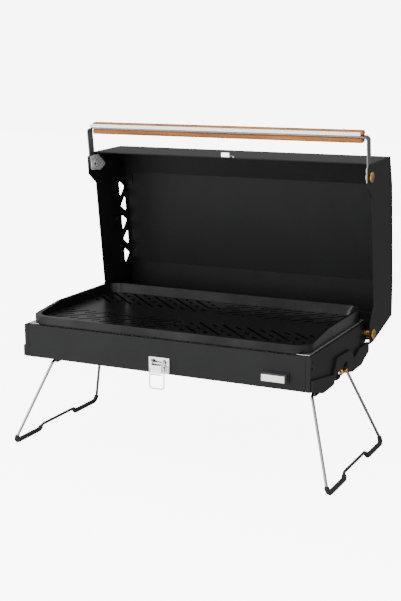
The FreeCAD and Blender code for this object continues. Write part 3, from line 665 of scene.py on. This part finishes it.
def leg_line(side):
    """Corners of a leg, from the middle of its pivot rod round the foot bar and back."""
    lean = (LEG_FOOT["x"] - LEG_TOP["x"]) / (LEG_TOP["up"] - LEG_FOOT["up"])
    jog_x = LEG_FOOT["x"] - lean * LEG_JOG["rise"]
    jog_up = LEG_FOOT["up"] + LEG_JOG["rise"]
    middle = (LEG_TOP["front"] + LEG_TOP["back"]) / 2
    corners = [
        (LEG_TOP["x"], middle - 0.6, LEG_TOP["up"], 0), (LEG_TOP["x"], LEG_TOP["front"], LEG_TOP["up"], 5),
        (LEG_FOOT["x"], LEG_FOOT["front"], LEG_FOOT["up"], 8),
        (LEG_FOOT["x"], LEG_JOG["front"], LEG_FOOT["up"], 6),
        (jog_x, LEG_JOG["front"] + LEG_JOG["run"], jog_up, 6),
        (jog_x, LEG_JOG["back"] - LEG_JOG["run"], jog_up, 6),
        (LEG_FOOT["x"], LEG_JOG["back"], LEG_FOOT["up"], 6),
        (LEG_FOOT["x"], LEG_FOOT["back"], LEG_FOOT["up"], 8),
        (LEG_TOP["x"], LEG_TOP["back"], LEG_TOP["up"], 5), (LEG_TOP["x"], middle + 0.6, LEG_TOP["up"], 0)]
    return [(at(side * x, back, up), bend) for x, back, up, bend in corners]


def toward(start, end, reach):
    return start + (end - start).normalized() * reach * MM


def make_legs(bar, made):
    for name, side in SIDES:
        line = leg_line(side)
        bent_bar(bar, name + "_leg_wire", [line], LEG_WIRE, made["wire"])
        sleeves = []
        for upright, corner, jog, rise in ((1, 2, 3, 4), (8, 7, 6, 5)):
            top = toward(line[corner][0], line[upright][0], 12.0)
            over = toward(line[jog][0], line[rise][0], 7.0)
            sleeves.append([(top, 0), line[corner], line[jog], (over, 0)])
        bent_bar(bar, name + "_leg_sleeves", sleeves, SLEEVE, made["rubber"], end_size=SLEEVE_END)


def make_bail(bar, made):
    """The latch's wire loop, its two ends turned into the lever."""
    half, back, up, long = 12.0, -8.5, 10.5, 32.0
    turned_in = 7.0
    line = [(-turned_in, up, 0), (-half, up, 1.6), (-half, up - long, 4),
            (half, up - long, 4), (half, up, 1.6), (turned_in, up, 0)]
    bent_bar(bar, "latch_bail", [[(at(x, back, z), bend) for x, z, bend in line]], 1.0, made["bright"])


LID_RIVET = (2.9, 1.3)
SMALL_RIVET = (2.0, 1.0)


def make_heads(head, made):
    into_lid = (0.0, -math.sin(LID_TILT), -math.cos(LID_TILT))
    off_lid = (0.0, -math.cos(LID_TILT), math.sin(LID_TILT))
    domed_heads(head, "lid_rivets", made["black"], LID_RIVET, into_lid)
    domed_heads(head, "latch_rivets", made["bright"], SMALL_RIVET, (0, -1, 0))
    domed_heads(head, "keeper_rivets", made["bright"], SMALL_RIVET, off_lid)


# ---- brass bolts ----
HEAD_HIGH = 4.0
SHANK = 3.0
SLOT_DEEP = 1.5
SLOT_WIDE = 1.8
DOME = [                   # outwards, as part of the radius, and down, as part of the head's height
    (0.0, 0.0), (0.18, 0.01), (0.40, 0.05), (0.62, 0.13), (0.80, 0.24), (0.92, 0.36),
    (0.985, 0.50), (1.0, 0.64), (1.0, 0.90), (0.97, 1.0), (0.33, 1.0)]


def slotted_bolt(node, side_boxes, material):
    """Turned bolts with a low dome, a rolled edge and a driver slot, lying along X."""
    shape = bmesh.new()
    for low, high in side_boxes:
        side = 1 if low.x > 0 else -1
        outer = high.x if side > 0 else low.x
        inner = low.x if side > 0 else high.x
        middle = (low + high) / 2
        rim = (high.z - low.z) / 2
        line = [(outer - side * HEAD_HIGH * MM * down, rim * out) for out, down in DOME]
        line.append((inner, SHANK * MM))
        line.append((inner, 0.0))
        ring_count = 48
        rings = []
        for x, radius in line:
            if radius < 1e-9:
                rings.append([shape.verts.new((x, middle.y, middle.z))])
                continue
            turns = [2 * math.pi * i / ring_count for i in range(ring_count)]
            around = [(middle.y + radius * math.cos(t), middle.z + radius * math.sin(t)) for t in turns]
            rings.append([shape.verts.new((x, y, z)) for y, z in around])
        for near, far in zip(rings, rings[1:]):
            for i in range(ring_count):
                j = (i + 1) % ring_count
                loop = [near[i % len(near)], near[j % len(near)], far[j % len(far)], far[i % len(far)]]
                shape.faces.new(list(dict.fromkeys(loop)))
    bmesh.ops.recalc_face_normals(shape, faces=shape.faces)
    piece = new_piece(node + "_turned", shape)
    cutter = slot_cutter(side_boxes)
    cut = piece.modifiers.new("slot", "BOOLEAN")
    cut.object = cutter
    cut.solver = "EXACT"
    depsgraph = bpy.context.evaluated_depsgraph_get()
    piece.data = bpy.data.meshes.new_from_object(piece.evaluated_get(depsgraph))
    piece.modifiers.clear()
    bpy.data.objects.remove(cutter)
    piece.data.shade_smooth()
    edges = piece.modifiers.new("broken edges", "BEVEL")
    edges.width = 0.12 * MM
    edges.segments = 2
    edges.angle_limit = math.radians(50)
    evened = piece.modifiers.new("even shading", "WEIGHTED_NORMAL")
    evened.keep_sharp = True
    return finished(piece, node, material)


def slot_cutter(side_boxes):
    shape = bmesh.new()
    for low, high in side_boxes:
        side = 1 if low.x > 0 else -1
        outer = high.x if side > 0 else low.x
        middle = (low + high) / 2
        reach = (high.z - low.z) / 2 * 0.70
        size = Matrix.Diagonal((2 * SLOT_DEEP * MM, SLOT_WIDE * MM, 2 * reach, 1.0))
        place = Matrix.Translation((outer, middle.y, middle.z))
        bmesh.ops.create_cube(shape, size=1.0, matrix=place @ size)
    return new_piece("slot_cutter", shape)


def make_bolts(made):
    for node in ("hinge_bolts", "handle_bolts"):
        slotted_bolt(node, islands(node), made["brass"])


# ---- finishing ----
FINISHES = {
    "black": powder_coat, "grate": non_stick, "steel": brushed_sheet, "bright": bright_plate,
    "zinc": zinc_plate, "strap": satin_strap, "brass": turned_brass, "wood": oiled_wood,
    "rubber": dipped_rubber, "wire": leg_steel, "ceramic": glazed_ceramic, "plastic": moulded_plastic,
    "pipe": pipe_aluminium,
}
ROUNDED = {
    "front_panel": 0.5, "right_end_wall": 0.45, "left_end_wall": 0.45, "right_end_guard": 0.9,
    "left_end_guard": 0.9, "rear_wall": 0.5, "lid_shell": 0.5, "lid_right_side": 0.35, "lid_left_side": 0.35,
    "cooking_grate": 1.0, "drip_tray": 0.25, "igniter_bezel": 0.3, "latch_plate": 0.3, "latch_lever": 0.3,
    "lid_keeper": 0.3, "handle_strap": 0.4, "ear_plates": 0.25, "grip_trim": 0.25,
    "right_hinge_bracket": 0.3, "left_hinge_bracket": 0.3, "right_leg_hangers": 0.3, "left_leg_hangers": 0.3,
}


def make_looks():
    made = {slot: build() for slot, build in FINISHES.items()}
    # the drip tray's finish paints shade below its flange
    own = {"drip_tray": tray_sheet_painted_shade(), "grip_trim": bright_trim()}
    # the grate's edges take a painted highlight
    edges = {"cooking_grate": edge_painted_highlight()}
    for node, piece in NODES.items():
        material = own.get(node, made[SLOTS[node]])
        if node in ROUNDED:
            softened(node, ROUNDED[node] * MM, material, edge=edges.get(node))
        else:
            piece.data.materials.clear()
            piece.data.materials.append(material)
    bar = bar_recipe()
    make_legs(bar, made)
    make_bail(bar, made)
    make_heads(head_recipe(), made)
    make_bolts(made)


make_camera()
make_stage()
make_looks()
